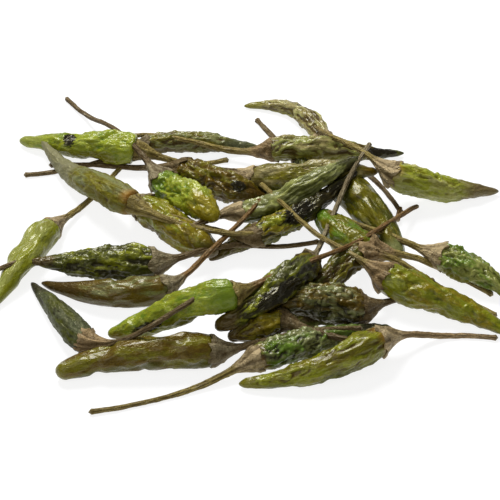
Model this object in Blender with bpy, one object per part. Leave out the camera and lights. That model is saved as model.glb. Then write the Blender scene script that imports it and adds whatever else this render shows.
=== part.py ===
"""A loose heap of thirty half-dried green chillies with their long stalks, and two loose stalks.

Metres, +Z up. The origin is under the middle of the heap, on the surface that it lies on.
+X runs along the heap's longest side and the front of the heap faces -Y.
The whole heap is one solid: every chilli is fused to those that it touches.
"""
import math
from collections import namedtuple

import bmesh
import bpy
import numpy as np
from mathutils import Matrix, Vector, noise

MM = 0.001

# Driving dimensions, in millimetres
STALK_RADIUS = 0.75
STALK_END_RADIUS = 1.0
CALYX_LENGTH = 9.0
PRESS_DEPTH = 0.2
BEND_RADIUS = 30.0
DENT_DEPTH = 0.45
DENT_SIZE = 7.0
CORE_HEIGHT = 5.0
HEAP_SHIFT = (0.1, -2.4)
WELD_DISTANCE = 0.01

# Shares: of a pod's girth and length, of two radii where pieces cross, and of one at the table
CROWN_SHARE = 0.82
SHOULDER_RISE = 0.16
TIP_ROUNDING = 0.06
TIP_CUT = 0.9
TAPER_POWER = 1.35
CONE_POWER = 1.5
PRESS_SHARE = 0.72
TABLE_SHARE = 0.95

# Points along one chilli: the stalk from its cut end, then the pod from its crown
STALK_POINTS = 22
POD_POINTS = 24
RING_POINTS = (0, 5, 10, 14, 17, 20, 21, 22, 24, 28, 32, 36, 40, 44, 45)
RING_RESOLUTION = 2
PLAN_PASSES = 6
HEIGHT_PASSES = 12
SEED_STEP = 7.3
MOUND_SEGMENTS = 12
MOUND_RINGS = 6

# The slab that the heap's underside is cut off by: width and thickness, in metres
TABLE_WIDTH = 0.4
TABLE_THICKNESS = 0.1

# Seen from above: where the crown lies, then length, heading in degrees and sideways bow of
# the pod and of the stalk, then the pod's girth, the share of its length where it starts to
# narrow and the radius that it narrows to. They are laid down in this order, each on those
# before it. The trailing notes say where in the heap each one shows.
Chilli = namedtuple("Chilli", "crown pod stalk girth narrows tip")
LAYOUT = [
    Chilli((13, 10.5), (31, -147, 0), (21, 50, 1), 8.0, 0.4, 0.9),  # under the middle
    Chilli((-34.5, 15.5), (33, -42.5, -1), (22, 134, 0), 11.4, 0.65, 2.4),  # under the long pale one
    Chilli((-64, 6), (38, -114.8, 0), (44, 59, -1), 9.8, 0.4, 0.8),  # left end
    Chilli((17, 41), (34, -79, -1), (29, 121, 0), 6.8, 0.4, 0.6),  # buried, stalk at the back
    Chilli((30, 25.5), (37.5, -62.5, 2), (18, 126, 0), 12.0, 0.35, 2.2),  # broad, right of middle
    Chilli((24.3, 51.8), (34, 141, -7.5), (43, -54.5, 3.5), 7.2, 0.2, 0.7),  # hindmost
    Chilli((-35, 50.3), (39, -1.5, 1), (42.7, -160.5, 2), 7.0, 0.5, 0.8),  # back left, behind
    Chilli((1, 30.3), (41, -3, -3.5), (23, 156, -3), 9.2, 0.5, 1.0),  # across the middle
    Chilli((38.5, -7), (24, 129, 1.5), (40.5, -22, 4.5), 11.0, 0.5, 3.4),  # short, right of middle
    Chilli((35, -9.5), (51, -136, 0), (47, -28, 3), 9.0, 0.55, 1.6),  # folded, middle
    Chilli((34.6, -33), (29, -177, -1), (28, 34, 0), 11.8, 0.4, 1.4),  # short and fat, front
    Chilli((1.5, -53.2), (45, 21, 0), (53, -158.5, 2.5), 9.6, 0.4, 1.0),  # front, low long stalk
    Chilli((10, -39.5), (18, -158, 0), (32, -14, -4), 8.4, 0.5, 1.6),  # front, stalk crossing
    Chilli((-30, -12.6), (40, 180, -1), (55, 16.5, 1), 11.4, 0.3, 0.7),  # left, third from front
    Chilli((2, -2.5), (43, 40, -0.5), (49, 158, 3), 8.6, 0.3, 0.8),  # crumpled, over the middle
    Chilli((-5, 12.3), (45.5, 24, -5), (22, -140, 1), 7.6, 0.5, 0.7),  # slender, behind the last
    Chilli((-26, -22.6), (40, 171.5, 4.8), (48, 52, -2), 9.8, 0.3, 0.8),  # left, second from front
    Chilli((-22.2, 35), (31, -25, -2.5), (45.5, 172, -2), 10.4, 0.6, 0.9),  # back left, brown
    Chilli((7, 43), (45, 5.5, -1.5), (55, 168, 0), 8.8, 0.3, 0.9),  # straight, along the back
    Chilli((-37.5, 43.7), (41.5, 166.5, 1.2), (30.5, 1, -2.5), 11.6, 0.15, 1.4),  # left back corner
    Chilli((-29, 28), (32.5, -55, 0), (61, 125, 0), 10.4, 0.65, 1.8),  # fresh green, stalk to the back
    Chilli((-37.2, 9.3), (52, 129, 2), (44, -16, -4), 10.0, 0.3, 0.8),  # long and pale, back left
    Chilli((18.3, -17.5), (40.5, -135.5, 4), (60, 69, 1), 10.0, 0.5, 1.8),  # folded, grey stalk
    Chilli((60.3, -8.8), (29, -37, 1.5), (40, 152.7, 0), 10.4, 0.3, 0.9),  # right end
    Chilli((39.6, -48.2), (45, -163, 4), (37, 11, 4), 10.6, 0.2, 1.2),  # front right, foremost
    Chilli((42, -21.6), (43, -26, 1), (59, 131, 4), 11.6, 0.2, 1.4),  # right, broad and bright
    Chilli((46, 24.2), (36, 5, -1), (38.5, 128, 2), 10.4, 0.25, 0.8),  # back right, frayed crown
    Chilli((-5.5, -39.8), (38, -178, -2), (85, 44.5, -5), 11.2, 0.4, 1.7),  # bright, longest stalk
    Chilli((-10.8, -51.2), (48, -172, -2), (46, 11, 0), 11.4, 0.3, 2.7),  # front left, largest
    Chilli((-49.6, -48.3), (37, 121, 0), (34, 12, -5), 9.2, 0.15, 0.8),  # left front, nearly black
]

# Stalks without a pod: where one end lies, length, heading and sideways bow
LOOSE_STALKS = [((-71.5, -13.5), (13, 203, 0)), ((47.5, 12.6), (6.4, 76, 0))]

# Low mounds that fill the bottom of the heap: centre and half width and depth
CORE_MOUNDS = [((12, 26), (15, 8)), ((20, -29), (12, 7))]


def ease(values, passes):
    """Smooths a run of values and leaves its two ends in place."""
    for _ in range(passes):
        values[1:-1] = (values[:-2] + 2 * values[1:-1] + values[2:]) / 4
    return values


def bowed_leg(start, length, heading, bow, count):
    """Points along a leg that leaves its straight line sideways by bow at its middle."""
    along = np.array((math.cos(math.radians(heading)), math.sin(math.radians(heading))))
    sideways = np.array((-along[1], along[0]))
    share = np.linspace(0, 1, count)[:, None]
    return np.array(start) + along * length * share + sideways * bow * 4 * share * (1 - share)


def pod_radius(share, chilli):
    """Radius along a pod from its crown, at 0, to its rounded tip, at 1."""
    widest = chilli.girth / 2
    rise = np.sin(np.minimum(share / SHOULDER_RISE, 1) * math.pi / 2)
    shoulder = CROWN_SHARE + (1 - CROWN_SHARE) * rise
    fall = np.clip((share - chilli.narrows) / (1 - chilli.narrows), 0, 1)
    taper = widest + (chilli.tip - widest) * fall ** TAPER_POWER
    end = np.clip((share - 1 + TIP_ROUNDING) / TIP_ROUNDING, 0, TIP_CUT)
    return shoulder * taper * np.sqrt(1 - end ** 2)


def stalk_radius(share, length, girth):
    """Radius along a stalk from its cut end, at 0, to the rim of its calyx, at 1."""
    knob = (STALK_END_RADIUS - STALK_RADIUS) * np.clip(1 - share * length / 2, 0, 1)
    cone = np.clip(1 - (1 - share) * length / CALYX_LENGTH, 0, 1) ** CONE_POWER
    return STALK_RADIUS + knob + (CROWN_SHARE * girth / 2 - STALK_RADIUS) * cone


def route(chilli):
    """Plan route and radius of a chilli, from the stalk's cut end to the pod's tip."""
    stalk = bowed_leg(chilli.crown, *chilli.stalk, STALK_POINTS + 1)[:0:-1]
    pod = bowed_leg(chilli.crown, *chilli.pod, POD_POINTS)
    plan = ease(np.concatenate((stalk, pod)), PLAN_PASSES)
    stalk_share = np.linspace(0, 1, STALK_POINTS)
    pod_share = np.linspace(0, 1, POD_POINTS)
    radius = np.concatenate((
        stalk_radius(stalk_share, chilli.stalk[0], chilli.girth),
        pod_radius(pod_share, chilli),
    ))
    return plan, radius


def resting_height(plan, radius, laid):
    """Height of each point of a chilli that bends softly over those already laid."""
    height = radius * TABLE_SHARE
    for other_plan, other_height, other_radius in laid:
        apart = np.linalg.norm(other_plan[None] - plan[:, None], axis=2)
        reach = (other_radius[None] + radius[:, None]) * PRESS_SHARE - PRESS_DEPTH
        over = other_height[None] + np.sqrt(np.maximum(reach ** 2 - apart ** 2, 0))
        height = np.maximum(height, np.where(apart < reach, over, 0).max(axis=1))
    steps = np.linalg.norm(np.diff(plan, axis=0), axis=1)
    along = np.concatenate(((0,), np.cumsum(steps)))
    sag = (along[:, None] - along[None]) ** 2 / (2 * BEND_RADIUS)
    return ease((height[None] - sag).max(axis=1), HEIGHT_PASSES)


def lay_heap():
    """Centre line, height and radius of every chilli and loose stalk, in laying order."""
    laid = []
    for chilli in LAYOUT:
        plan, radius = route(chilli)
        laid.append((plan, resting_height(plan, radius, laid), radius))
    for start, leg in LOOSE_STALKS:
        plan = bowed_leg(start, *leg, STALK_POINTS)
        radius = np.full(STALK_POINTS, STALK_RADIUS)
        laid.append((plan, resting_height(plan, radius, laid), radius))
    return laid


def mesh_from_curve(curve_object):
    """Turns a curve object into a closed mesh object in the same place."""
    depsgraph = bpy.context.evaluated_depsgraph_get()
    mesh = bpy.data.meshes.new_from_object(curve_object.evaluated_get(depsgraph))
    mesh_object = bpy.data.objects.new(curve_object.name + "_mesh", mesh)
    mesh_object.matrix_world = curve_object.matrix_world
    curve = curve_object.data
    bpy.data.objects.remove(curve_object)
    bpy.data.curves.remove(curve)
    shape = bmesh.new()
    shape.from_mesh(mesh)
    bmesh.ops.remove_doubles(shape, verts=shape.verts, dist=WELD_DISTANCE * MM)
    bmesh.ops.recalc_face_normals(shape, faces=shape.faces)
    shape.to_mesh(mesh)
    shape.free()
    return mesh_object


def make_chilli(number, plan, height, radius, collection):
    """One chilli as a tube of changing radius, with shallow dents from drying."""
    curve = bpy.data.curves.new(f"chilli_{number}", "CURVE")
    curve.dimensions = "3D"
    curve.bevel_depth = MM
    curve.bevel_resolution = RING_RESOLUTION
    curve.use_fill_caps = True
    spline = curve.splines.new("POLY")
    rings = [ring for ring in RING_POINTS if ring < len(plan)]
    spline.points.add(len(rings) - 1)
    for point, ring in zip(spline.points, rings):
        x, y = plan[ring]
        point.co = (x * MM, y * MM, height[ring] * MM, 1)
        point.radius = radius[ring]
    curve_object = bpy.data.objects.new(f"chilli_{number}", curve)
    collection.objects.link(curve_object)
    chilli = mesh_from_curve(curve_object)
    collection.objects.link(chilli)
    dent(chilli.data, number)
    return chilli


def dent(mesh, seed):
    """Pushes a skin in and out by smooth noise."""
    for vertex in mesh.vertices:
        place = vertex.co / (DENT_SIZE * MM) + Vector((0, 0, SEED_STEP * seed))
        vertex.co += vertex.normal * noise.noise(place) * DENT_DEPTH * MM


def make_mound(centre, half_size, collection):
    """A low rounded mound under the pods."""
    shape = bmesh.new()
    bmesh.ops.create_uvsphere(shape, u_segments=MOUND_SEGMENTS, v_segments=MOUND_RINGS, radius=1)
    for vertex in shape.verts:
        vertex.co.x = (vertex.co.x * half_size[0] + centre[0]) * MM
        vertex.co.y = (vertex.co.y * half_size[1] + centre[1]) * MM
        vertex.co.z *= CORE_HEIGHT * MM
    mesh = bpy.data.meshes.new("mound")
    shape.to_mesh(mesh)
    shape.free()
    mound = bpy.data.objects.new("mound", mesh)
    collection.objects.link(mound)
    return mound


def apply_boolean(target, operation, collection=None, cutter=None):
    """Joins a collection to the target, or keeps what a cutter leaves, and applies it."""
    modifier = target.modifiers.new(operation.title(), "BOOLEAN")
    modifier.operation = operation
    if collection:
        modifier.operand_type = "COLLECTION"
        modifier.collection = collection
    else:
        modifier.object = cutter
    depsgraph = bpy.context.evaluated_depsgraph_get()
    mesh = bpy.data.meshes.new_from_object(target.evaluated_get(depsgraph))
    target.modifiers.remove(modifier)
    target.data = mesh


def keep_largest_body(mesh):
    """Drops loose scraps and fills sealed hollows, which are bodies of their own."""
    shape = bmesh.new()
    shape.from_mesh(mesh)
    bodies = []
    unseen = set(shape.verts)
    while unseen:
        front = [unseen.pop()]
        body = set(front)
        while front:
            vertex = front.pop()
            fresh = {edge.other_vert(vertex) for edge in vertex.link_edges} & unseen
            unseen -= fresh
            body |= fresh
            front.extend(fresh)
        bodies.append(body)
    largest = max(bodies, key=len)
    scraps = [vertex for body in bodies if body is not largest for vertex in body]
    bmesh.ops.delete(shape, geom=scraps, context="VERTS")
    shape.to_mesh(mesh)
    shape.free()


def make_material():
    """Skin of the half-dried chillies, between fresh green and brown."""
    material = bpy.data.materials.new("chilli_skin")
    material.use_nodes = True
    shader = material.node_tree.nodes["Principled BSDF"]
    shader.inputs["Base Color"].default_value = (0.13, 0.15, 0.03, 1)
    shader.inputs["Roughness"].default_value = 0.4
    shader.inputs["Metallic"].default_value = 0
    return material


def clear_scene():
    for scene_object in list(bpy.data.objects):
        bpy.data.objects.remove(scene_object)


def main():
    clear_scene()
    heap_collection = bpy.data.collections.new("chilli_heap")
    pieces = bpy.data.collections.new("pieces")
    bpy.context.scene.collection.children.link(heap_collection)
    bpy.context.scene.collection.children.link(pieces)

    for number, (plan, height, radius) in enumerate(lay_heap()):
        make_chilli(number, plan, height, radius, pieces)
    for centre, half_size in CORE_MOUNDS[1:]:
        make_mound(centre, half_size, pieces)

    heap = make_mound(*CORE_MOUNDS[0], heap_collection)
    heap.name = "chilli_heap"
    apply_boolean(heap, "UNION", collection=pieces)
    for piece in list(pieces.objects):
        bpy.data.objects.remove(piece)
    bpy.data.collections.remove(pieces)

    bpy.ops.mesh.primitive_cube_add(
        size=1,
        location=(0, 0, -TABLE_THICKNESS / 2),
        scale=(TABLE_WIDTH, TABLE_WIDTH, TABLE_THICKNESS),
    )
    table = bpy.context.object
    apply_boolean(heap, "DIFFERENCE", cutter=table)
    bpy.data.objects.remove(table)
    keep_largest_body(heap.data)
    heap.data.transform(Matrix.Translation((HEAP_SHIFT[0] * MM, HEAP_SHIFT[1] * MM, 0)))
    heap.data.materials.clear()
    heap.data.materials.append(make_material())


main()
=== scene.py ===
import math

import bpy
import numpy as np
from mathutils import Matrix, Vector, noise


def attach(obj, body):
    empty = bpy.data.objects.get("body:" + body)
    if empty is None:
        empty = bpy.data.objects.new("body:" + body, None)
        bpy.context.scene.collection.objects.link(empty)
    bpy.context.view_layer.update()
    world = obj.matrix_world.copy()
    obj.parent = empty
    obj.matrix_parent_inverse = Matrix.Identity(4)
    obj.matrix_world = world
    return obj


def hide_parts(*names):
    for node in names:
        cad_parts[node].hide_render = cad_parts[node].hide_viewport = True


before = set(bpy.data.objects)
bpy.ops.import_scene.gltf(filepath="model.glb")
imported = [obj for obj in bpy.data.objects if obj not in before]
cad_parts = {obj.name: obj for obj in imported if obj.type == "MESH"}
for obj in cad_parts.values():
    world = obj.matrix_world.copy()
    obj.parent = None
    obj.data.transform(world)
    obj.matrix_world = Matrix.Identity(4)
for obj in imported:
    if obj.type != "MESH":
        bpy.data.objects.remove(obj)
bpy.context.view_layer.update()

mm = 0.001
bpy.ops.object.select_all(action="DESELECT")

# The heap, in millimetres and degrees, as it is laid in the CAD solid
heap = dict(
    stalkRadius=0.75,
    stalkEndRadius=1.0,
    calyxLength=9.0,
    pressShare=0.72,
    pressDepth=0.2,
    bendRadius=30.0,
    crownShare=0.82,
    shoulderRise=0.16,
    tipRounding=0.06,
    tipCut=0.9,
    taperPower=1.35,
    conePower=1.5,
    knobLength=2.0,
    tableShare=0.95,
    stalkPoints=22,
    podPoints=24,
    planPasses=6,
    heightPasses=12,
    shift=(0.1, -2.4),
)

# Crown's place, then length, heading and sideways bow of pod and stalk, girth, the share where
# the pod starts to narrow, and the radius at its tip. Bottom of the heap first.
# skin names an entry of skins. tones, low, ends, stalkTone and calyx name entries of tones:
# main, streak and mottle tone, the last also painted as shade into creases and wrinkles, the tone
# painted as shade on the low side, the tone of the tip and where it starts.
# stains are dark patches: share of the length, degrees round it, length and width.
# Where they are given, cap scales the calyx, plump scales the thickening of the stalk towards it,
# and collar is the tone of the pod beside the calyx, up to a share of the length.
chillies = [
    dict(crown=(13, 10.5), pod=(31, -147, 0), stalk=(21, 50, 1), girth=8.0, narrows=0.4, tip=0.9,
         skin="withered", tones=("olive", "moss", "brown"), low="brown", ends=("brown", 0.8),
         stalkTone="bark", calyx="tan", stains=[]),
    dict(crown=(-34.5, 15.5), pod=(33, -42.5, -1), stalk=(22, 134, 0), girth=11.4, narrows=0.65, tip=2.4,
         skin="dented", tones=("golden", "leaf", "brown"), low="brown", ends=("brown", 0.9),
         stalkTone="bark", calyx="ashBark", stains=[]),
    dict(crown=(-64, 6), pod=(38, -114.8, 0), stalk=(44, 59, -1), girth=9.8, narrows=0.4, tip=0.8,
         skin="smooth", tones=("sage", "leaf", "olive"), low="olive", ends=("greyGreen", 0.9),
         stalkTone="oliveBark", calyx="tan", cap=0.9, stains=[]),
    dict(crown=(17, 41), pod=(34, -79, -1), stalk=(29, 121, 0), girth=6.8, narrows=0.4, tip=0.6,
         skin="withered", tones=("moss", "slate", "ink"), low="ink", ends=("ink", 0.8),
         stalkTone="bark", calyx="bark", stains=[]),
    dict(crown=(30, 25.5), pod=(37.5, -62.5, 2), stalk=(18, 126, 0), girth=12.0, narrows=0.35, tip=2.2,
         skin="smooth", tones=("olive", "moss", "brown"), low="moss", ends=("greyGreen", 0.8),
         stalkTone="bark", calyx="bark", stains=[]),
    dict(crown=(24.3, 51.8), pod=(34, 141, -7.5), stalk=(43, -54.5, 3.5), girth=7.2, narrows=0.2, tip=0.7,
         skin="dry", tones=("khaki", "straw", "brown"), low="olive", ends=("olive", 0.8),
         stalkTone="umber", calyx="tan", stains=[]),
    dict(crown=(-35, 50.3), pod=(39, -1.5, 1), stalk=(42.7, -160.5, 2), girth=7.0, narrows=0.5, tip=0.8,
         skin="dry", tones=("greyGreen", "olive", "brown"), low="brown", ends=("slate", 0.7),
         stalkTone="bark", calyx="ashBark", stains=[]),
    dict(crown=(1, 30.3), pod=(41, -3, -3.5), stalk=(23, 156, -3), girth=9.2, narrows=0.5, tip=1.0,
         skin="dented", tones=("olive", "khaki", "brown"), low="moss", ends=("amber", 0.85),
         stalkTone="bark", calyx="tan", stains=[]),
    dict(crown=(38.5, -7), pod=(24, 129, 1.5), stalk=(40.5, -22, 4.5), girth=11.0, narrows=0.5, tip=3.4,
         skin="dented", tones=("olive", "grass", "moss"), low="moss", ends=("grass", 0.9),
         stalkTone="oliveBark", calyx="rose", stains=[]),
    dict(crown=(35, -9.5), pod=(51, -136, 0), stalk=(47, -28, 3), girth=9.0, narrows=0.55, tip=1.6,
         skin="dry", tones=("olive", "moss", "brown"), low="brown", ends=("olive", 0.85),
         stalkTone="oliveBark", calyx="rose", stains=[]),
    dict(crown=(34.6, -33), pod=(29, -177, -1), stalk=(28, 34, 0), girth=11.8, narrows=0.4, tip=1.4,
         skin="crinkled", tones=("amber", "greyGreen", "ink"), low="ink", ends=("brown", 0.9),
         stalkTone="umber", calyx="bark", stains=[(0.3, 350, 14, 6)]),
    dict(crown=(1.5, -53.2), pod=(45, 21, 0), stalk=(53, -158.5, 2.5), girth=9.6, narrows=0.4, tip=1.0,
         skin="crinkled", tones=("greyGreen", "grass", "ink"), low="moss", ends=("ink", 0.72),
         stalkTone="oliveBark", calyx="tan", collar=("rust", 0.025), plump=1.4, stains=[]),
    dict(crown=(10, -39.5), pod=(18, -158, 0), stalk=(32, -14, -4), girth=8.4, narrows=0.5, tip=1.6,
         skin="dry", tones=("golden", "olive", "brown"), low="brown", ends=("brown", 0.8),
         stalkTone="umber", calyx="bark", stains=[]),
    dict(crown=(-30, -12.6), pod=(40, 180, -1), stalk=(55, 16.5, 1), girth=11.4, narrows=0.3, tip=0.7,
         skin="dry", tones=("moss", "leaf", "ink"), low="ink", ends=("brown", 0.8),
         stalkTone="umber", calyx="ashBark", stains=[]),
    dict(crown=(2, -2.5), pod=(43, 40, -0.5), stalk=(49, 158, 3), girth=8.6, narrows=0.3, tip=0.8,
         skin="withered", tones=("golden", "leaf", "ink"), low="moss", ends=("ink", 0.35),
         stalkTone="oliveBark", calyx="bark", stains=[(0.38, 60, 9, 5)]),
    dict(crown=(-5, 12.3), pod=(45.5, 24, -5), stalk=(22, -140, 1), girth=7.6, narrows=0.5, tip=0.7,
         skin="dry", tones=("greyGreen", "sage", "moss"), low="moss", ends=("ink", 0.85),
         stalkTone="umber", calyx="tan", stains=[]),
    dict(crown=(-26, -22.6), pod=(40, 171.5, 4.8), stalk=(48, 52, -2), girth=9.8, narrows=0.3, tip=0.8,
         skin="smooth", tones=("amber", "greyGreen", "brown"), low="brown", ends=("brown", 0.65),
         stalkTone="russet", calyx="ashBark", plump=0.6, stains=[]),
    dict(crown=(-22.2, 35), pod=(31, -25, -2.5), stalk=(45.5, 172, -2), girth=10.4, narrows=0.6, tip=0.9,
         skin="crinkled", tones=("amber", "olive", "brown"), low="brown", ends=("brown", 0.8),
         stalkTone="umber", calyx="bark", stains=[(0.7, 60, 3, 2.5)]),
    dict(crown=(7, 43), pod=(45, 5.5, -1.5), stalk=(55, 168, 0), girth=8.8, narrows=0.3, tip=0.9,
         skin="dry", tones=("sage", "khaki", "brown"), low="olive", ends=("moss", 0.8),
         stalkTone="oliveBark", calyx="rose", plump=1.3, stains=[(0.8, 40, 9, 3)]),
    dict(crown=(-37.5, 43.7), pod=(41.5, 166.5, 1.2), stalk=(30.5, 1, -2.5), girth=11.6, narrows=0.15,
         tip=1.4, skin="dented", tones=("leaf", "lime", "grass"), low="olive", ends=("sage", 0.85),
         stalkTone="oliveBark", calyx="oliveBark", cap=0.75, stains=[(0.54, 110, 3, 4)]),
    dict(crown=(-29, 28), pod=(32.5, -55, 0), stalk=(61, 125, 0), girth=10.4, narrows=0.65, tip=1.8,
         skin="crinkled", tones=("leaf", "lime", "grass"), low="olive", ends=("golden", 0.7),
         stalkTone="umber", calyx="ashBark", collar=("grass", 0.2), stains=[]),
    dict(crown=(-37.2, 9.3), pod=(52, 129, 2), stalk=(44, -16, -4), girth=10.0, narrows=0.3, tip=0.8,
         skin="dull", tones=("olive", "greyGreen", "brown"), low="olive", ends=("dust", 0.5),
         stalkTone="oliveBark", calyx="oliveBark", plump=1.6, cap=0.8, collar=("rust", 0.035), stains=[]),
    dict(crown=(18.3, -17.5), pod=(40.5, -135.5, 4), stalk=(60, 69, 1), girth=10.0, narrows=0.5, tip=1.8,
         skin="dry", tones=("moss", "leaf", "ink"), low="brown", ends=("brown", 0.75),
         stalkTone="ashBark", calyx="ashBark", collar=("golden", 0.06), plump=0.3,
         stains=[(0.5, 150, 12, 4)]),
    dict(crown=(60.3, -8.8), pod=(29, -37, 1.5), stalk=(40, 152.7, 0), girth=10.4, narrows=0.3, tip=0.9,
         skin="crinkled", tones=("sage", "grass", "moss"), low="olive", ends=("brown", 0.9),
         stalkTone="oliveBark", calyx="tan", stains=[]),
    dict(crown=(39.6, -48.2), pod=(45, -163, 4), stalk=(37, 11, 4), girth=10.6, narrows=0.2, tip=1.2,
         skin="folded", tones=("leaf", "olive", "brown"), low="moss", ends=("olive", 0.9),
         stalkTone="rose", calyx="tan", collar=("rust", 0.025), stains=[]),
    dict(crown=(42, -21.6), pod=(43, -26, 1), stalk=(59, 131, 4), girth=11.6, narrows=0.2, tip=1.4,
         skin="dented", tones=("leaf", "golden", "moss"), low="olive", ends=("leaf", 0.9),
         stalkTone="oliveBark", calyx="rose", stains=[]),
    dict(crown=(46, 24.2), pod=(36, 5, -1), stalk=(38.5, 128, 2), girth=10.4, narrows=0.25, tip=0.8,
         skin="folded", tones=("lime", "straw", "olive"), low="sage", ends=("umber", 0.62),
         stalkTone="oliveBark", calyx="tan", collar=("rust", 0.03), stains=[]),
    dict(crown=(-5.5, -39.8), pod=(38, -178, -2), stalk=(85, 44.5, -5), girth=11.2, narrows=0.4, tip=1.7,
         skin="dented", tones=("leaf", "lime", "grass"), low="olive", ends=("amber", 0.95),
         stalkTone="russet", calyx="oliveBark", cap=0.78, collar=("grass", 0.14), plump=1.2,
         stains=[(0.66, 160, 7, 2.4)]),
    dict(crown=(-10.8, -51.2), pod=(48, -172, -2), stalk=(46, 11, 0), girth=11.4, narrows=0.3, tip=2.7,
         skin="smooth", tones=("amber", "olive", "brown"), low="moss", ends=("olive", 0.9),
         stalkTone="bark", calyx="ashBark", stains=[]),
    dict(crown=(-49.6, -48.3), pod=(37, 121, 0), stalk=(34, 12, -5), girth=9.2, narrows=0.15, tip=0.8,
         skin="dull", tones=("slate", "moss", "ink"), low="ink", ends=("ink", 0.75),
         stalkTone="umber", calyx="rose", plump=0.2, stains=[]),
]

# Stalks without a pod: where one end lies, then length, heading and sideways bow
looseStalks = [
    dict(start=(-71.5, -13.5), leg=(13, 203, 0), tone="bark"),
    dict(start=(47.5, 12.6), leg=(6.4, 76, 0), tone="russet"),
]

# Colours that the skins and stalks are mixed from, linear
tones = dict(
    lime=(0.284, 0.318, 0.022),
    leaf=(0.198, 0.215, 0.007),
    grass=(0.095, 0.172, 0.010),
    moss=(0.052, 0.060, 0.003),
    olive=(0.138, 0.125, 0.004),
    straw=(0.400, 0.385, 0.130),
    golden=(0.206, 0.159, 0.003),
    amber=(0.099, 0.060, 0.002),
    brown=(0.052, 0.027, 0.003),
    khaki=(0.267, 0.228, 0.082),
    sage=(0.249, 0.267, 0.060),
    greyGreen=(0.163, 0.176, 0.060),
    dust=(0.172, 0.163, 0.086),
    slate=(0.077, 0.086, 0.041),
    ink=(0.011, 0.008, 0.004),
    bark=(0.170, 0.122, 0.056),
    oliveBark=(0.290, 0.225, 0.062),
    ashBark=(0.270, 0.225, 0.130),
    umber=(0.115, 0.078, 0.034),
    russet=(0.215, 0.115, 0.036),
    rust=(0.330, 0.125, 0.020),
    rose=(0.350, 0.240, 0.115),
    tan=(0.480, 0.370, 0.200),
    pith=(0.480, 0.410, 0.270),
)

# How each kind of skin has dried: lengthwise folds, hollows, fine crumpling, slow swelling, and
# roughness
skins = dict(
    smooth=dict(folds=0.05, dents=0.23, crumple=0.015, swell=0.14, rough=0.20),
    dented=dict(folds=0.09, dents=0.20, crumple=0.07, swell=0.11, rough=0.22),
    dull=dict(folds=0.09, dents=0.12, crumple=0.08, swell=0.10, rough=0.40),
    folded=dict(folds=0.16, dents=0.13, crumple=0.07, swell=0.10, rough=0.24),
    crinkled=dict(folds=0.09, dents=0.14, crumple=0.17, swell=0.10, rough=0.22),
    dry=dict(folds=0.24, dents=0.10, crumple=0.11, swell=0.11, rough=0.28),
    withered=dict(folds=0.18, dents=0.14, crumple=0.17, swell=0.11, rough=0.26),
)

# Relief of a dried skin: sizes in millimetres, how far each kind is drawn out along the pod, the
# edges between which hollows deepen, and how sharp and how strong folds and crumples are
drying = dict(
    warpSize=5.0,
    warp=1.3,
    warpWays=(0.6, 1, -1),
    swellSize=9.0,
    swellStretch=0.7,
    dentSize=5.6,
    dentStretch=0.75,
    dentEdges=(-0.05, 0.45),
    smallDentSize=2.8,
    smallDentEdges=(-0.05, 0.5),
    smallDents=3.0,
    foldSize=3.0,
    narrowFoldSize=1.5,
    foldStretch=0.17,
    foldSharpness=3.2,
    foldHeight=0.7,
    narrowFoldHeight=0.35,
    foldLevel=0.55,
    crumpleStretch=0.6,
    raisedSize=2.7,
    raisedSharpness=2.6,
    raisedHeight=0.8,
    sunkSize=1.8,
    sunkSharpness=4.0,
    sunkDepth=0.5,
    grainSize=0.72,
    grainHeight=0.3,
    crumpleLevel=0.2,
)

# How the tones of tip, collar and the painted shade on the low side spread: how far noise shifts
# their edges, the width of the edges, and the most that each takes over
toneSpread = dict(
    driftSize=4.0,
    driftStretch=0.5,
    tipDrift=0.16,
    tipBefore=0.06,
    tipAfter=0.10,
    tipMost=0.9,
    underShadeWay=(0, -0.6, -0.8),
    underShadeDrift=0.7,
    underShadeEdges=(0.35, 0.95),
    underShadeMost=0.75,
    collarDrift=0.06,
    collarEdge=0.05,
    collarMost=0.65,
)

# Meshes of pods and stalks. Edges are the two values between which a share rises from 0 to 1.
# From the cut end, cone rings run to the pod, lap rings over its shoulder, and the rest inside.
podMesh = dict(segments=88, rings=136, closingShare=0.03, reliefRise=0.1, creaseShadeEdges=(0.01, 0.12),
               crestSheenEdges=(0.0, 0.10), stainRise=2.0, stainShine=0.6, placeStep=(31.0, 11.0, 0))
stalkMesh = dict(
    segments=34,
    rings=92,
    ringSpread=1.5,
    coneRings=0.86,
    lapRings=0.94,
    endRounding=0.4,
    cutEdges=(-0.5, -0.1),
    looseCutEdges=(-0.6, -0.1),
    ribs=7,
    ribDepth=0.13,
    wideRib=0.5,
    grooveStretch=0.12,
    grooveSize=0.55,
    grooveSharpness=3.0,
    grooveLevel=0.5,
    groove=1.6,
    creaseShadeEdges=(-0.02, 0.14),
    teeth=5,
    toothWave=0.5,
    toothSize=0.35,
    toothDepth=1.0,
    lap=1.5,
    leastLap=0.3,
    turnedIn=0.7,
    capPower=4,
    standOff=0.2,
    lumpSize=1.8,
    lumpStretch=0.6,
    lumps=0.16,
    pleats=8,
    pleatTurnSize=0.8,
    pleatTurn=1.2,
    pleatLevel=0.6,
    pleatDepth=0.17,
    pleatEdges=(0.1, 0.5),
    ribFade=0.55,
    rimTooth=0.3,
    rimEdges=(0.5, 1.1),
    rimShade=0.12,
    capEdges=(0.05, 0.45),
    thicker=0.42,
    thickerLength=30.0,
    wobbleSize=6.0,
    wobble=0.18,
    placeStep=(23.0, 7.0, 0),
)

# Points and smoothing passes of the fine centre lines, and the gap under the lowest skin
lineMesh = dict(pointsPerStep=5, loosePoints=60, passes=24, floorGap=0.02)
lastStep = heap["stalkPoints"] + heap["podPoints"] - 1  # steps along a whole chilli


# Smooths a run of values and leaves its two ends in place
def ease(values, passes):
    for _ in range(passes):
        values[1:-1] = (values[:-2] + 2 * values[1:-1] + values[2:]) / 4
    return values


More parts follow.
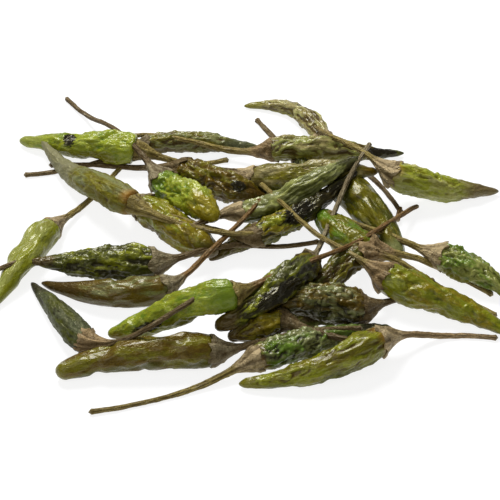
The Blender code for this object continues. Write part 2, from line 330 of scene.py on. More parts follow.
# Points along a leg that leaves its straight line sideways by bow at its middle
def bowedLeg(start, length, heading, bow, count):
    along = np.array((math.cos(math.radians(heading)), math.sin(math.radians(heading))))
    sideways = np.array((-along[1], along[0]))
    share = np.linspace(0, 1, count)[:, None]
    return np.array(start) + along * length * share + sideways * bow * 4 * share * (1 - share)


# Radius along a pod from its crown, at 0, to where its tip rounds off, at 1
def podRadius(share, chilli):
    widest = chilli["girth"] / 2
    rise = np.sin(np.minimum(share / heap["shoulderRise"], 1) * math.pi / 2)
    shoulder = heap["crownShare"] + (1 - heap["crownShare"]) * rise
    fall = np.clip((share - chilli["narrows"]) / (1 - chilli["narrows"]), 0, 1)
    taper = widest + (chilli["tip"] - widest) * fall ** heap["taperPower"]
    return shoulder * taper


def roundedTip(share, most):
    end = np.clip((share - 1 + heap["tipRounding"]) / heap["tipRounding"], 0, most)
    return np.sqrt(1 - end ** 2)


# Radius along a stalk from its cut end, at 0, to the rim of its calyx, at 1
def stalkRadius(share, length, girth):
    knob = np.clip(1 - share * length / heap["knobLength"], 0, 1)
    knob *= heap["stalkEndRadius"] - heap["stalkRadius"]
    cone = np.clip(1 - (1 - share) * length / heap["calyxLength"], 0, 1) ** heap["conePower"]
    rim = heap["crownShare"] * girth / 2
    return heap["stalkRadius"] + knob + (rim - heap["stalkRadius"]) * cone


# Plan route and radius of a chilli, from the stalk's cut end to the pod's tip
def chilliRoute(chilli):
    stalk = bowedLeg(chilli["crown"], *chilli["stalk"], heap["stalkPoints"] + 1)[:0:-1]
    pod = bowedLeg(chilli["crown"], *chilli["pod"], heap["podPoints"])
    plan = ease(np.concatenate((stalk, pod)), heap["planPasses"])
    podShare = np.linspace(0, 1, heap["podPoints"])
    radius = np.concatenate((
        stalkRadius(np.linspace(0, 1, heap["stalkPoints"]), chilli["stalk"][0], chilli["girth"]),
        podRadius(podShare, chilli) * roundedTip(podShare, heap["tipCut"]),
    ))
    return plan, radius


# The height where a soft chilli rests on those already laid
def restingHeight(plan, radius, laid):
    height = radius * heap["tableShare"]
    for otherPlan, otherHeight, otherRadius in laid:
        apart = np.linalg.norm(otherPlan[None] - plan[:, None], axis=2)
        reach = (otherRadius[None] + radius[:, None]) * heap["pressShare"] - heap["pressDepth"]
        over = otherHeight[None] + np.sqrt(np.maximum(reach ** 2 - apart ** 2, 0))
        height = np.maximum(height, np.where(apart < reach, over, 0).max(axis=1))
    steps = np.linalg.norm(np.diff(plan, axis=0), axis=1)
    along = np.concatenate(((0,), np.cumsum(steps)))
    sag = (along[:, None] - along[None]) ** 2 / (2 * heap["bendRadius"])
    return ease((height[None] - sag).max(axis=1), heap["heightPasses"])


# Centre line of each chilli and loose stalk, in millimetres, bottom of the heap first
def layHeap():
    laid = []
    for chilli in chillies:
        plan, radius = chilliRoute(chilli)
        laid.append((plan, restingHeight(plan, radius, laid), radius))
    for stalk in looseStalks:
        plan = bowedLeg(stalk["start"], *stalk["leg"], heap["stalkPoints"])
        radius = np.full(heap["stalkPoints"], heap["stalkRadius"])
        laid.append((plan, restingHeight(plan, radius, laid), radius))
    shift = np.array((*heap["shift"], 0))
    return [np.column_stack((plan, height)) + shift for plan, height, radius in laid]


# The same line with more points and no corners
def refined(line, count):
    old = np.linspace(0, 1, len(line))
    new = np.linspace(0, 1, count)
    fine = np.column_stack([np.interp(new, old, line[:, axis]) for axis in range(3)])
    return ease(fine, lineMesh["passes"])


# Places on a line by share, with the sideways and upward direction at each
def frameAlong(line, share):
    steps = np.linspace(0, 1, len(line))
    tangent = np.gradient(line, axis=0)
    place = np.column_stack([np.interp(share, steps, line[:, axis]) for axis in range(3)])
    ahead = np.column_stack([np.interp(share, steps, tangent[:, axis]) for axis in range(3)])
    ahead /= np.linalg.norm(ahead, axis=1)[:, None]
    side = np.cross(ahead, (0, 0, 1))
    side /= np.linalg.norm(side, axis=1)[:, None]
    return place, side, np.cross(side, ahead)


# Share from pole to pole and angle round the axis of each point of a unit sphere
def spherePlaces(obj):
    places = np.empty(len(obj.data.vertices) * 3)
    obj.data.vertices.foreach_get("co", places)
    places = places.reshape(-1, 3)
    share = np.arccos(np.clip(places[:, 2], -1, 1)) / math.pi
    return share, np.arctan2(places[:, 1], places[:, 0])


# Moves a piece's points, given in millimetres, none of them below the table
def setPlaces(obj, places):
    places[:, 2] = np.maximum(places[:, 2], lineMesh["floorGap"])
    obj.data.vertices.foreach_set("co", (places * mm).ravel())
    obj.data.update()


def addFloats(obj, name, values):
    attribute = obj.data.attributes.new(name, "FLOAT", "POINT")
    attribute.data.foreach_set("value", np.asarray(values, dtype=np.float32))


def addVectors(obj, name, values):
    attribute = obj.data.attributes.new(name, "FLOAT_VECTOR", "POINT")
    attribute.data.foreach_set("vector", np.asarray(values, dtype=np.float32).ravel())


def addTone(obj, name, colours):
    colours = np.column_stack((colours, np.ones(len(colours))))
    attribute = obj.data.attributes.new(name, "FLOAT_COLOR", "POINT")
    attribute.data.foreach_set("color", colours.astype(np.float32).ravel())


# Noise from about -1 to 1 at each place, in a pattern of its own for each seed
def noiseAt(places, size, seed):
    shifted = places / size + (seed * 17.3, seed * 5.1, seed * 9.7)
    return np.array([noise.noise(place) for place in shifted.tolist()])


# 1 along the lines where values pass 0, and 0 away from them
def ridges(values, sharpness):
    return 1 - np.minimum(np.abs(values) * sharpness, 1)


def smoothRise(values, low, high):
    rise = np.clip((values - low) / (high - low), 0, 1)
    return rise * rise * (3 - 2 * rise)


def addSphere(name, segments, rings):
    bpy.ops.mesh.primitive_uv_sphere_add(segments=segments, ring_count=rings, radius=1)
    obj = bpy.context.object
    obj.name = name
    return obj


# Swells, hollows, folds and crumples of a dried skin, as a share of the pod's radius, and
# how far each point stands out of its folds and crumples alone
def skinRelief(number, skin, straight):
    warp = noiseAt(straight, drying["warpSize"], number + 160)[:, None] * drying["warp"]
    warped = straight + warp * drying["warpWays"]
    swell = noiseAt(straight * (drying["swellStretch"], 1, 1), drying["swellSize"], number + 200)
    hollow = noiseAt(warped * (drying["dentStretch"], 1, 1), drying["dentSize"], number + 80)
    hollow = smoothRise(hollow, *drying["dentEdges"])
    smallHollow = noiseAt(warped, drying["smallDentSize"], number + 90)
    smallHollow = smoothRise(smallHollow, *drying["smallDentEdges"])
    foldPlaces = warped * (drying["foldStretch"], 1, 1)
    fold = ridges(noiseAt(foldPlaces, drying["foldSize"], number), drying["foldSharpness"])
    narrowFold = noiseAt(foldPlaces, drying["narrowFoldSize"], number + 40)
    narrowFold = ridges(narrowFold, drying["foldSharpness"])
    crumplePlaces = warped * (drying["crumpleStretch"], 1, 1)
    raised = noiseAt(crumplePlaces, drying["raisedSize"], number + 120)
    raised = ridges(raised, drying["raisedSharpness"])
    sunk = ridges(noiseAt(crumplePlaces, drying["sunkSize"], number + 240), drying["sunkSharpness"])
    grain = noiseAt(crumplePlaces, drying["grainSize"], number + 250)
    folds = fold * drying["foldHeight"] + narrowFold * drying["narrowFoldHeight"] - drying["foldLevel"]
    crumple = (
        raised * drying["raisedHeight"]
        - sunk * drying["sunkDepth"]
        + grain * drying["grainHeight"]
        - drying["crumpleLevel"]
    )
    pleats = skin["folds"] * folds + skin["crumple"] * crumple
    hollows = hollow + drying["smallDents"] * skin["crumple"] * smallHollow
    return skin["swell"] * swell - skin["dents"] * hollows + pleats, pleats


# Main, streak and mottle tone of each point, with tip and collar in their own tones, and the low
# side in the tone of its painted shade
def skinTones(number, chilli, share, outward, straight):
    spread = toneSpread
    drift = noiseAt(straight * (spread["driftStretch"], 1, 1), spread["driftSize"], number + 280)
    tipTone, tipFrom = chilli["ends"]
    tipEdges = (tipFrom - spread["tipBefore"], tipFrom + spread["tipAfter"])
    tipShare = smoothRise(share + drift * spread["tipDrift"], *tipEdges) * spread["tipMost"]
    # Painted shade: the side facing down and to the front takes the low tone
    underShadeFacing = outward @ spread["underShadeWay"] + drift * spread["underShadeDrift"]
    underShadeShare = smoothRise(underShadeFacing, *spread["underShadeEdges"]) * spread["underShadeMost"]
    collarTone, collarTo = chilli.get("collar", (tipTone, -1))
    collarEdges = (collarTo - spread["collarEdge"], collarTo + spread["collarEdge"])
    collarShare = 1 - smoothRise(share + drift * spread["collarDrift"], *collarEdges)
    collarShare *= spread["collarMost"]
    mixed = []
    for name in chilli["tones"]:
        colour = np.tile(tones[name], (len(share), 1))
        for tone, part in ((chilli["low"], underShadeShare), (tipTone, tipShare), (collarTone, collarShare)):
            colour += (np.array(tones[tone]) - colour) * part[:, None]
        mixed.append(colour)
    return mixed


# One pod, from a sphere drawn out along its line
def makePod(number, chilli, line):
    skin = skins[chilli["skin"]]
    pod = addSphere(f"pod{number}", podMesh["segments"], podMesh["rings"])
    share, angle = spherePlaces(pod)
    lineShare = (heap["stalkPoints"] + share * (heap["podPoints"] - 1)) / lastStep
    place, side, up = frameAlong(line, lineShare)
    length = chilli["pod"][0]
    radius = podRadius(share, chilli) * roundedTip(share, 1)
    closing = np.clip(1 - share / podMesh["closingShare"], 0, 1)
    radius *= np.sqrt(1 - closing ** 2)

    straight = np.column_stack((share * length, np.cos(angle) * radius, np.sin(angle) * radius))
    relief, pleats = skinRelief(number, skin, straight)
    radius *= 1 + relief * np.clip(share / podMesh["reliefRise"], 0, 1)
    outward = side * np.cos(angle)[:, None] + up * np.sin(angle)[:, None]
    setPlaces(pod, place + outward * radius[:, None])

    stain = np.zeros(len(share))
    for at, turn, long, wide in chilli["stains"]:
        away = (share - at) * length / long
        around = np.angle(np.exp(1j * (angle - math.radians(turn)))) * radius / wide
        stain = np.maximum(stain, 1 - np.sqrt(away ** 2 + around ** 2))
    stain = np.clip(stain * podMesh["stainRise"], 0, 1)
    addFloats(pod, "stain", stain)
    # Painted shade in the valleys of folds and crumples, and painted highlights on their crests
    addFloats(pod, "creaseShade", smoothRise(-pleats, *podMesh["creaseShadeEdges"]))
    addFloats(pod, "crestSheen", smoothRise(pleats, *podMesh["crestSheenEdges"]))
    addFloats(pod, "rough", skin["rough"] * (1 - podMesh["stainShine"] * stain))
    addVectors(pod, "skinPlace", straight + number * np.array(podMesh["placeStep"]))
    mixed = skinTones(number, chilli, share, outward, straight)
    for name, colours in zip(("mainTone", "streakTone", "mottleAndShadeTone"), mixed):
        addTone(pod, name, colours)
    return pod


# Share of its radius that a stalk has at a distance from its cut end
def cutRounding(fromEnd):
    return np.sqrt(1 - np.clip(1 - fromEnd / stalkMesh["endRounding"], 0, 1) ** 2)


# A loose stalk, with both its ends cut
def makeLooseStalk(number, line, length, tone):
    stalk = addSphere(f"stalk{number}", stalkMesh["segments"], stalkMesh["rings"])
    share, angle = spherePlaces(stalk)
    place, side, up = frameAlong(line, share)
    fromEnd = share * length
    radius = stalkRadius(share, length, 2 * heap["stalkRadius"] / heap["crownShare"])
    for near in (fromEnd, length - fromEnd):
        radius *= cutRounding(near)
    rib = stalkRibs(number, fromEnd, angle)
    radius *= 1 + rib
    places = place + side * (np.cos(angle) * radius)[:, None] + up * (np.sin(angle) * radius)[:, None]
    setPlaces(stalk, places)
    straight = np.column_stack((fromEnd, np.cos(angle) * radius, np.sin(angle) * radius))
    nearEnd = smoothRise(-np.minimum(fromEnd, length - fromEnd), *stalkMesh["looseCutEdges"])
    finishStalk(stalk, number, straight, rib, np.zeros(len(share)), nearEnd, tone, tone)
    return stalk


# Broad ribs and narrow grooves along a stalk, as a share of its radius
def stalkRibs(number, fromEnd, angle):
    around = np.column_stack((fromEnd * stalkMesh["grooveStretch"], np.cos(angle), np.sin(angle)))
    groove = ridges(noiseAt(around, stalkMesh["grooveSize"], number), stalkMesh["grooveSharpness"])
    rib = np.cos(angle * stalkMesh["ribs"] + number) * stalkMesh["ribDepth"] * stalkMesh["wideRib"]
    return rib + (groove - stalkMesh["grooveLevel"]) * stalkMesh["ribDepth"] * stalkMesh["groove"]


def finishStalk(stalk, number, straight, rib, calyx, cut, stalkTone, calyxTone):
    addFloats(stalk, "calyx", calyx)
    addFloats(stalk, "cut", cut)
    addFloats(stalk, "creaseShade", smoothRise(-rib, *stalkMesh["creaseShadeEdges"]))
    addVectors(stalk, "skinPlace", straight + number * np.array(stalkMesh["placeStep"]))
    points = len(calyx)
    addTone(stalk, "stalkTone", np.tile(tones[stalkTone], (points, 1)))
    addTone(stalk, "calyxTone", np.tile(tones[calyxTone], (points, 1)))


# A stalk from its cut end to its calyx, whose ragged rim laps over the pod's shoulder
def makeStalk(number, chilli, line):
    stalk = addSphere(f"stalk{number}", stalkMesh["segments"], stalkMesh["rings"])
    share, angle = spherePlaces(stalk)
    length = chilli["stalk"][0]
    capSize = chilli.get("cap", 1)
    cone = np.clip(share / stalkMesh["coneRings"], 0, 1)
    lapRings = stalkMesh["lapRings"] - stalkMesh["coneRings"]
    lapping = np.clip((share - stalkMesh["coneRings"]) / lapRings, 0, 1)
    inside = np.clip((share - stalkMesh["lapRings"]) / (1 - stalkMesh["lapRings"]), 0, 1)
    along = 1 - (1 - cone) ** stalkMesh["ringSpread"]
    fromEnd = along * length
    flare = np.clip(1 - (length - fromEnd) / heap["calyxLength"], 0, 1)

    around = np.column_stack((np.cos(angle), np.sin(angle), np.zeros(len(angle))))
    tooth = np.cos(angle * stalkMesh["teeth"] + number) * stalkMesh["toothWave"]
    tooth += noiseAt(around, stalkMesh["toothSize"], number + 20)
    lap = np.maximum(stalkMesh["lap"] + tooth * stalkMesh["toothDepth"], stalkMesh["leastLap"])
    lap *= capSize ** stalkMesh["capPower"] * lapping * (1 - inside * stalkMesh["turnedIn"])
    podShare = lap / chilli["pod"][0]
    radius = stalkRadius(along, length, chilli["girth"] * capSize)
    thicker = np.clip(1 - (length - fromEnd) / stalkMesh["thickerLength"], 0, 1) * (1 - flare)
    radius += stalkMesh["thicker"] * chilli.get("plump", 1) * thicker
    radius = np.where(lapping > 0, podRadius(podShare, chilli) * capSize, radius)
    radius = (radius + stalkMesh["standOff"] * flare ** 3) * cutRounding(fromEnd)
    rib = stalkRibs(number, fromEnd, angle)
    straight = np.column_stack((fromEnd + lap, np.cos(angle) * radius, np.sin(angle) * radius))
    lump = noiseAt(straight * (stalkMesh["lumpStretch"], 1, 1), stalkMesh["lumpSize"], number + 60)
    lump *= stalkMesh["lumps"] * flare
    turned = angle + noiseAt(around, stalkMesh["pleatTurnSize"], number + 30) * stalkMesh["pleatTurn"]
    pleat = stalkMesh["pleatLevel"] - np.abs(np.sin(turned * stalkMesh["pleats"] / 2))
    lump += pleat * stalkMesh["pleatDepth"] * smoothRise(flare, *stalkMesh["pleatEdges"])
    radius *= (1 + rib * (1 - stalkMesh["ribFade"] * flare) + lump) * (1 - inside)

    lineShare = (along * heap["stalkPoints"] + podShare * (heap["podPoints"] - 1)) / lastStep
    place, side, up = frameAlong(line, lineShare)
    wobble = noiseAt(place, stalkMesh["wobbleSize"], number + 7) * stalkMesh["wobble"] * (1 - flare)
    places = place + side * (np.cos(angle) * radius + wobble)[:, None]
    setPlaces(stalk, places + up * (np.sin(angle) * radius)[:, None])
    # Painted shade: the calyx's rim where it laps over the pod, and the hollows of lumps and pleats,
    # deepen the crease share
    rim = smoothRise(lapping + tooth * stalkMesh["rimTooth"], *stalkMesh["rimEdges"])
    rib += lump - rim * stalkMesh["rimShade"]
    cap = smoothRise(flare, *stalkMesh["capEdges"])
    cut = smoothRise(-fromEnd, *stalkMesh["cutEdges"])
    finishStalk(stalk, number, straight, rib, cap, cut, chilli["stalkTone"], chilli["calyx"])
    return stalk


# Joins pieces of one kind and smooths their shading
def joinPieces(name, pieces):
    bpy.ops.object.select_all(action="DESELECT")
    for piece in pieces:
        piece.select_set(True)
    bpy.context.view_layer.objects.active = pieces[0]
    bpy.ops.object.join()
    bpy.ops.object.shade_smooth()
    joined = bpy.context.object
    joined.name = name
    joined.data.name = name
    bpy.ops.object.select_all(action="DESELECT")
    return joined


# A shader node, with its inputs set by name or linked
def node(tree, kind, place, **inputs):
    new = tree.nodes.new(kind)
    new.location = place
    for name, value in inputs.items():
        socket = new.inputs[name]
        if isinstance(value, bpy.types.NodeSocket):
            tree.links.new(value, socket)
        else:
            socket.default_value = value
    return new


def readAttribute(tree, name, place):
    new = tree.nodes.new("ShaderNodeAttribute")
    new.attribute_name = name
    new.location = place
    return new


def mathNode(tree, operation, place, first, second=None, third=None):
    new = tree.nodes.new("ShaderNodeMath")
    new.operation = operation
    new.location = place
    for index, value in enumerate((first, second, third)):
        if isinstance(value, bpy.types.NodeSocket):
            tree.links.new(value, new.inputs[index])
        elif value is not None:
            new.inputs[index].default_value = value
    return new.outputs[0]


# Goes smoothly from 0 at start to 1 at end, whichever of them is larger, and is level past them
def ramp(tree, place, value, start, end):
    new = tree.nodes.new("ShaderNodeMapRange")
    new.interpolation_type = "SMOOTHSTEP"
    new.location = place
    tree.links.new(value, new.inputs["Value"])
    new.inputs["From Min"].default_value = start
    new.inputs["From Max"].default_value = end
    return new.outputs["Result"]


def mixColours(tree, place, share, first, second, blend="MIX"):
    new = tree.nodes.new("ShaderNodeMix")
    new.data_type = "RGBA"
    new.blend_type = blend
    new.location = place
    for index, value in ((0, share), (6, first), (7, second)):
        if isinstance(value, bpy.types.NodeSocket):
            tree.links.new(value, new.inputs[index])
        else:
            new.inputs[index].default_value = value
    return new.outputs[2]


def stretchedNoise(tree, place, vector, stretch, scale, detail, roughness=0.5):
    mapping = tree.nodes.new("ShaderNodeMapping")
    mapping.location = (place[0] - 200, place[1])
    mapping.inputs["Scale"].default_value = stretch
    tree.links.new(vector, mapping.inputs["Vector"])
    new = tree.nodes.new("ShaderNodeTexNoise")
    new.location = place
    new.inputs["Scale"].default_value = scale
    new.inputs["Detail"].default_value = detail
    new.inputs["Roughness"].default_value = roughness
    tree.links.new(mapping.outputs[0], new.inputs["Vector"])
    return new.outputs["Fac"]


# Fine relief of dried skin and stalk: lengthwise fibres, pits and small sharp wrinkles.
# Place is in millimetres, with X along the pod or stalk.
def makeFibreGroup():
    look = dict(fibreStretch=(0.12, 1, 1), wrinkleStretch=(0.5, 1, 1), wrinkleWidth=0.14,
                fibreHeight=0.5, wrinkleHeight=0.9)
    group = bpy.data.node_groups.new("driedFibre", "ShaderNodeTree")
    face = group.interface
    face.new_socket("Place", in_out="INPUT", socket_type="NodeSocketVector")
    for name, value in (("Fibre Scale", 1.6), ("Pit Scale", 1.1), ("Wrinkle Scale", 0.8)):
        face.new_socket(name, in_out="INPUT", socket_type="NodeSocketFloat").default_value = value
    for name in ("Fibre", "Pits", "Wrinkles", "Height"):
        face.new_socket(name, in_out="OUTPUT", socket_type="NodeSocketFloat")
    entry = group.nodes.new("NodeGroupInput")
    leave = group.nodes.new("NodeGroupOutput")
    entry.location = (-1100, 0)
    leave.location = (600, 0)
    stretch = group.nodes.new("ShaderNodeMapping")
    stretch.location = (-900, 200)
    stretch.inputs["Scale"].default_value = look["fibreStretch"]
    group.links.new(entry.outputs["Place"], stretch.inputs["Vector"])
    squeeze = group.nodes.new("ShaderNodeMapping")
    squeeze.location = (-900, -300)
    squeeze.inputs["Scale"].default_value = look["wrinkleStretch"]
    group.links.new(entry.outputs["Place"], squeeze.inputs["Vector"])
    fibre = node(group, "ShaderNodeTexNoise", (-650, 250), Vector=stretch.outputs[0],
                 Scale=entry.outputs["Fibre Scale"], Detail=4.0, Roughness=0.6)
    pits = node(group, "ShaderNodeTexNoise", (-650, 0), Vector=entry.outputs["Place"],
                Scale=entry.outputs["Pit Scale"], Detail=5.0, Roughness=0.65)
    bends = node(group, "ShaderNodeTexNoise", (-650, -300), Vector=squeeze.outputs[0],
                 Scale=entry.outputs["Wrinkle Scale"], Detail=2.0, Roughness=0.5, Distortion=0.6)
    off = mathNode(group, "SUBTRACT", (-400, -300), bends.outputs["Fac"], 0.5)
    off = mathNode(group, "ABSOLUTE", (-250, -300), off)
    wrinkles = ramp(group, (-100, -300), off, look["wrinkleWidth"], 0.0)
    height = mathNode(group, "MULTIPLY_ADD", (100, 100), fibre.outputs["Fac"], look["fibreHeight"],
                      pits.outputs["Fac"])
    height = mathNode(group, "MULTIPLY_ADD", (300, 0), wrinkles, look["wrinkleHeight"], height)
    group.links.new(fibre.outputs["Fac"], leave.inputs["Fibre"])
    group.links.new(pits.outputs["Fac"], leave.inputs["Pits"])
    group.links.new(wrinkles, leave.inputs["Wrinkles"])
    group.links.new(height, leave.inputs["Height"])
    return group


def newMaterial(name):
    material = bpy.data.materials.new(name)
    material.use_nodes = True
    tree = material.node_tree
    return material, tree, tree.nodes["Principled BSDF"]


def placeFibre(tree, group, vector, place, scales):
    new = tree.nodes.new("ShaderNodeGroup")
    new.node_tree = group
    new.location = place
    tree.links.new(vector, new.inputs["Place"])
    for name, value in zip(("Fibre Scale", "Pit Scale", "Wrinkle Scale"), scales):
        new.inputs[name].default_value = value
    return new


def addBump(tree, shader, height, strength, distance, place):
    bump = tree.nodes.new("ShaderNodeBump")
    bump.location = place
    bump.inputs["Strength"].default_value = strength
    bump.inputs["Distance"].default_value = distance
    tree.links.new(height, bump.inputs["Height"])
    tree.links.new(bump.outputs["Normal"], shader.inputs["Normal"])


# Half-dried skin: cloudy streaks, painted shade in creases and wrinkles, painted highlights on
# crests, stains and a waxy shine
def makeSkinMaterial(fibreGroup):
    look = dict(
        streakStretch=(0.3, 1, 1),
        streakScale=0.34,
        streakEdges=(0.44, 0.60),
        cloudStretch=(0.6, 1, 1),
        cloudScale=0.24,
        cloudEdges=(0.54, 0.68),
        cloudDepth=0.6,
        speckStretch=(0.7, 1, 1),
        speckScale=1.1,
        creaseShadeSpecks=0.5,
        creaseShadeEdges=(0.45, 1.15),
        creaseShadeDepth=0.9,
        wrinkleShadeDepth=0.35,
        crestSheenTint=(1.25, 1.22, 1.5, 1),
        stainSpecks=2.0,
        stainEdges=(1.35, 1.75),
        stainRim=(0.02, 0.3),
        dullEdges=(0.35, 0.7),
        dullness=0.2,
        glossEdges=(0.42, 0.28),
        coat=0.28,
        coatRough=0.12,
        specular=0.3,
        specularTint=(1.0, 0.93, 0.45, 1),
        fibre=(1.5, 2.0, 0.75),
        bump=0.55,
        bumpDistance=0.00016,
    )
    material, tree, shader = newMaterial("chilliSkin")
    vector = readAttribute(tree, "skinPlace", (-1800, 0)).outputs["Vector"]
    main = readAttribute(tree, "mainTone", (-1800, 600)).outputs["Color"]
    streakTone = readAttribute(tree, "streakTone", (-1800, 450)).outputs["Color"]
    mottleAndShadeTone = readAttribute(tree, "mottleAndShadeTone", (-1800, 300)).outputs["Color"]
    stain = readAttribute(tree, "stain", (-1800, -200)).outputs["Fac"]
    creaseShade = readAttribute(tree, "creaseShade", (-1800, -350)).outputs["Fac"]
    crestSheen = readAttribute(tree, "crestSheen", (-1800, -500)).outputs["Fac"]
    rough = readAttribute(tree, "rough", (-1800, -650)).outputs["Fac"]

    streak = stretchedNoise(tree, (-1400, 500), vector, look["streakStretch"], look["streakScale"], 4, 0.6)
    cloud = stretchedNoise(tree, (-1400, 250), vector, look["cloudStretch"], look["cloudScale"], 5, 0.6)
    speck = stretchedNoise(tree, (-1400, 0), vector, look["speckStretch"], look["speckScale"], 4, 0.65)
    fibre = placeFibre(tree, fibreGroup, vector, (-1400, -250), look["fibre"])

    streakShare = ramp(tree, (-1100, 450), streak, *look["streakEdges"])
    colour = mixColours(tree, (-900, 500), streakShare, main, streakTone)
    cloudShare = ramp(tree, (-1100, 200), cloud, *look["cloudEdges"])
    cloudShare = mathNode(tree, "MULTIPLY", (-900, 250), cloudShare, look["cloudDepth"])
    colour = mixColours(tree, (-700, 450), cloudShare, colour, mottleAndShadeTone)
    # Painted shade: fold valleys and fine wrinkles darkened towards the mottle tone
    creaseShadeShare = mathNode(tree, "MULTIPLY_ADD", (-1100, 0), speck, look["creaseShadeSpecks"], creaseShade)
    creaseShadeShare = ramp(tree, (-900, 0), creaseShadeShare, *look["creaseShadeEdges"])
    creaseShadeShare = mathNode(tree, "MULTIPLY", (-700, 50), creaseShadeShare, look["creaseShadeDepth"])
    colour = mixColours(tree, (-500, 400), creaseShadeShare, colour, mottleAndShadeTone)
    wrinkleShadeShare = fibre.outputs["Wrinkles"]
    wrinkleShadeShare = mathNode(tree, "MULTIPLY", (-500, 100), wrinkleShadeShare, look["wrinkleShadeDepth"])
    colour = mixColours(tree, (-300, 350), wrinkleShadeShare, colour, mottleAndShadeTone)
    # Painted highlight: crests made paler and whiter
    pale = mixColours(tree, (-300, 100), crestSheen, (1, 1, 1, 1), look["crestSheenTint"])
    colour = mixColours(tree, (-100, 300), 1.0, colour, pale, "MULTIPLY")
    stainCore = mathNode(tree, "MULTIPLY_ADD", (-1100, -300), speck, look["stainSpecks"], stain)
    stainCore = ramp(tree, (-900, -300), stainCore, *look["stainEdges"])
    stainArea = ramp(tree, (-900, -450), stain, *look["stainRim"])
    stainShare = mathNode(tree, "MULTIPLY", (-700, -250), stainCore, stainArea)
    colour = mixColours(tree, (100, 250), stainShare, colour, (*tones["ink"], 1))
    tree.links.new(colour, shader.inputs["Base Color"])

    dull = ramp(tree, (-500, -100), speck, *look["dullEdges"])
    roughness = mathNode(tree, "MULTIPLY_ADD", (-300, -100), dull, look["dullness"], rough)
    tree.links.new(roughness, shader.inputs["Roughness"])
    glossy = ramp(tree, (-500, -600), rough, *look["glossEdges"])
    shine = mathNode(tree, "MULTIPLY", (-300, -600), glossy, look["coat"])
    tree.links.new(shine, shader.inputs["Coat Weight"])
    shader.inputs["Coat Roughness"].default_value = look["coatRough"]
    shader.inputs["Specular IOR Level"].default_value = look["specular"]
    shader.inputs["Specular Tint"].default_value = look["specularTint"]
    addBump(tree, shader, fibre.outputs["Height"], look["bump"], look["bumpDistance"], (300, -300))
    return material


# Dry stalks and calyxes: fibrous, ribbed and nearly matt, with pale flecks and cut ends, and
# painted shade in grooves, in hollows and under the calyx's rim
def makeStalkMaterial(fibreGroup):
    look = dict(
        cloudStretch=(0.3, 1, 1),
        cloudScale=0.3,
        cloudEdges=(0.42, 0.62),
        cloudDepth=0.4,
        patchEdges=(0.52, 0.68),
        patchDepth=0.45,
        fleckEdges=(0.56, 0.72),
        fleckDepth=0.6,
        grooveShadeDepth=0.7,
        cutDepth=0.7,
        rough=0.5,
        specular=0.25,
        specularTint=(1.0, 0.88, 0.62, 1),
        fibre=(1.5, 1.1, 0.8),
        bump=0.9,
        bumpDistance=0.0003,
    )
    material, tree, shader = newMaterial("dryStalk")
    vector = readAttribute(tree, "skinPlace", (-1600, 0)).outputs["Vector"]
    tone = readAttribute(tree, "stalkTone", (-1600, 450)).outputs["Color"]
    calyxTone = readAttribute(tree, "calyxTone", (-1600, 300)).outputs["Color"]
    calyx = readAttribute(tree, "calyx", (-1600, -200)).outputs["Fac"]
    creaseShade = readAttribute(tree, "creaseShade", (-1600, -350)).outputs["Fac"]
    cut = readAttribute(tree, "cut", (-1600, -500)).outputs["Fac"]
    fibre = placeFibre(tree, fibreGroup, vector, (-1300, 0), look["fibre"])
    cloud = stretchedNoise(tree, (-1300, 300), vector, look["cloudStretch"], look["cloudScale"], 4, 0.6)

    colour = mixColours(tree, (-900, 300), calyx, tone, calyxTone)
    cloudy = ramp(tree, (-1100, 100), cloud, *look["cloudEdges"])
    patch = ramp(tree, (-1100, -150), fibre.outputs["Pits"], *look["patchEdges"])
    fleck = ramp(tree, (-1100, -300), fibre.outputs["Fibre"], *look["fleckEdges"])
    layers = (
        (cloudy, look["cloudDepth"], "umber"),
        (patch, look["patchDepth"], "brown"),
        (fleck, look["fleckDepth"], "pith"),
        # Painted shade: grooves, hollows and the calyx's rim darkened towards brown
        (creaseShade, look["grooveShadeDepth"], "brown"),
        (cut, look["cutDepth"], "pith"),
    )
    for number, (share, depth, layerTone) in enumerate(layers):
        share = mathNode(tree, "MULTIPLY", (200 * number - 900, 100 - 150 * number), share, depth)
        place = (200 * number - 700, 250 - 50 * number)
        colour = mixColours(tree, place, share, colour, (*tones[layerTone], 1))
    tree.links.new(colour, shader.inputs["Base Color"])
    shader.inputs["Roughness"].default_value = look["rough"]
    shader.inputs["Specular IOR Level"].default_value = look["specular"]
    shader.inputs["Specular Tint"].default_value = look["specularTint"]
    addBump(tree, shader, fibre.outputs["Height"], look["bump"], look["bumpDistance"], (300, -300))
    return material


# Crushed bits in the bottom of the heap, under the pods that show
def addCore(material):
    core = dict(height=4.6, mounds=[((12, 26), (15, 8)), ((20, -29), (12, 7))], segments=64, rings=32,
                size=0.9, lumpSize=4.0, lumps=0.25, creaseShadeEdges=(0.0, 0.1), rough=0.5,
                tones=("umber", "moss", "ink"))
    mounds = []
    for number, (centre, half) in enumerate(core["mounds"]):
        mound = addSphere(f"mound{number}", core["segments"], core["rings"])
        places = np.empty(len(mound.data.vertices) * 3)
        mound.data.vertices.foreach_get("co", places)
        places = places.reshape(-1, 3) * (*half, core["height"])
        lumps = noiseAt(places, core["lumpSize"], number + 60) * core["lumps"]
        places *= (core["size"] + lumps)[:, None]
        places += (centre[0] + heap["shift"][0], centre[1] + heap["shift"][1], 0)
        setPlaces(mound, places)
        # Painted shade in the hollows between the lumps
        addFloats(mound, "creaseShade", smoothRise(-lumps, *core["creaseShadeEdges"]))
        for name, value in (("stain", 0.0), ("crestSheen", 0.0), ("rough", core["rough"])):
            addFloats(mound, name, np.full(len(places), value))
        addVectors(mound, "skinPlace", places)
        for name, tone in zip(("mainTone", "streakTone", "mottleAndShadeTone"), core["tones"]):
            addTone(mound, name, np.tile(tones[tone], (len(places), 1)))
        mounds.append(mound)
    joined = joinPieces("heapCore", mounds)
    joined.data.materials.append(material)
    return joined


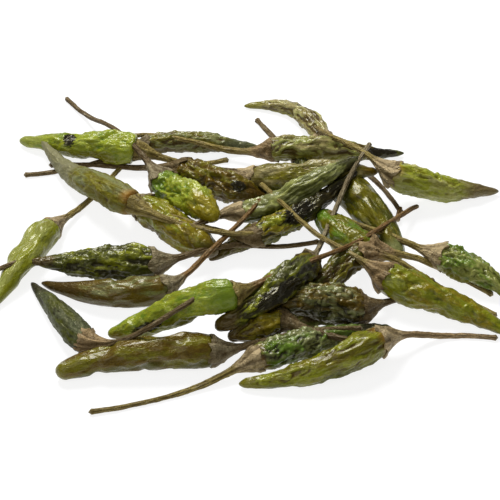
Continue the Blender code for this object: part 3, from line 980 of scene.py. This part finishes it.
def buildHeap():
    fibreGroup = makeFibreGroup()
    skinMaterial = makeSkinMaterial(fibreGroup)
    stalkMaterial = makeStalkMaterial(fibreGroup)
    kinds = dict(
        podsSmooth=("smooth",),
        podsDented=("dented", "folded"),
        podsCrinkled=("crinkled",),
        podsDry=("dry",),
        podsDull=("dull",),
        podsWithered=("withered",),
    )
    pods = {name: [] for name in kinds}
    stalks = dict(stalksOlive=[], stalksBrown=[])
    lines = layHeap()
    for number, (chilli, line) in enumerate(zip(chillies, lines)):
        line = refined(line, lineMesh["pointsPerStep"] * lastStep + 1)
        kind = next(name for name, members in kinds.items() if chilli["skin"] in members)
        pods[kind].append(makePod(number, chilli, line))
        stalkKind = "stalksOlive" if chilli["stalkTone"] == "oliveBark" else "stalksBrown"
        stalks[stalkKind].append(makeStalk(number, chilli, line))
    print("chillies done")
    for number, (loose, line) in enumerate(zip(looseStalks, lines[len(chillies):])):
        line = refined(line, lineMesh["loosePoints"])
        stalks["stalksBrown"].append(makeLooseStalk(number + 50, line, loose["leg"][0], loose["tone"]))
    pieces = [joinPieces(name, members) for name, members in pods.items()]
    for piece in pieces:
        piece.data.materials.append(skinMaterial)
    pieces.append(addCore(skinMaterial))
    for name, members in stalks.items():
        piece = joinPieces(name, members)
        piece.data.materials.append(stalkMaterial)
        pieces.append(piece)
    for piece in pieces:
        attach(piece, "root")
        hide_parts("chilli_heap")
        print(piece.name, 2 * len(piece.data.polygons), "triangles at most")


# White table, soft light from above, most of it from behind, and the camera at the photo's angle
def addStudio():
    studio = dict(elevation=42.0, distance=0.7, lens=157.5, target=(0.0001, -0.0024, 0.0),
                  sensor=36.0, nearest=0.01,
                  tableSize=4.0, tableTone=0.2, tableRough=0.7, tableGlow=0.84, world=0.2,
                  keyPlace=(-0.15, 0.42, 0.62), keyPower=7.0, keySize=0.32,
                  fillPlace=(-0.35, -0.4, 0.6), fillPower=1.5, fillSize=0.6)
    bpy.ops.mesh.primitive_plane_add(size=studio["tableSize"], location=(0, 0, 0))
    table = bpy.context.object
    table.name = "table"
    material, tree, shader = newMaterial("tableWhite")
    shader.inputs["Base Color"].default_value = (*[studio["tableTone"]] * 3, 1)
    shader.inputs["Roughness"].default_value = studio["tableRough"]
    shader.inputs["Emission Color"].default_value = (1, 1, 1, 1)
    shader.inputs["Emission Strength"].default_value = studio["tableGlow"]
    table.data.materials.append(material)

    world = bpy.data.worlds.new("studioWorld")
    world.use_nodes = True
    world.node_tree.nodes["Background"].inputs["Color"].default_value = (1, 1, 1, 1)
    world.node_tree.nodes["Background"].inputs["Strength"].default_value = studio["world"]
    bpy.context.scene.world = world

    for name in ("key", "fill"):
        place = Vector(studio[name + "Place"])
        bpy.ops.object.light_add(type="AREA", location=place)
        light = bpy.context.object
        light.name = name + "Light"
        light.data.energy = studio[name + "Power"]
        light.data.size = studio[name + "Size"]
        light.rotation_euler = (-place).to_track_quat("-Z", "Y").to_euler()

    angle = math.radians(studio["elevation"])
    away = Vector((0, -math.cos(angle), math.sin(angle))) * studio["distance"]
    bpy.ops.object.camera_add(location=Vector(studio["target"]) + away)
    camera = bpy.context.object
    camera.rotation_euler = (-away).to_track_quat("-Z", "Y").to_euler()
    camera.data.lens = studio["lens"]
    camera.data.sensor_width = studio["sensor"]
    camera.data.clip_start = studio["nearest"]
    bpy.context.scene.camera = camera
    bpy.context.scene.view_settings.view_transform = "Standard"


buildHeap()
print("heap done")
addStudio()
print("studio done")
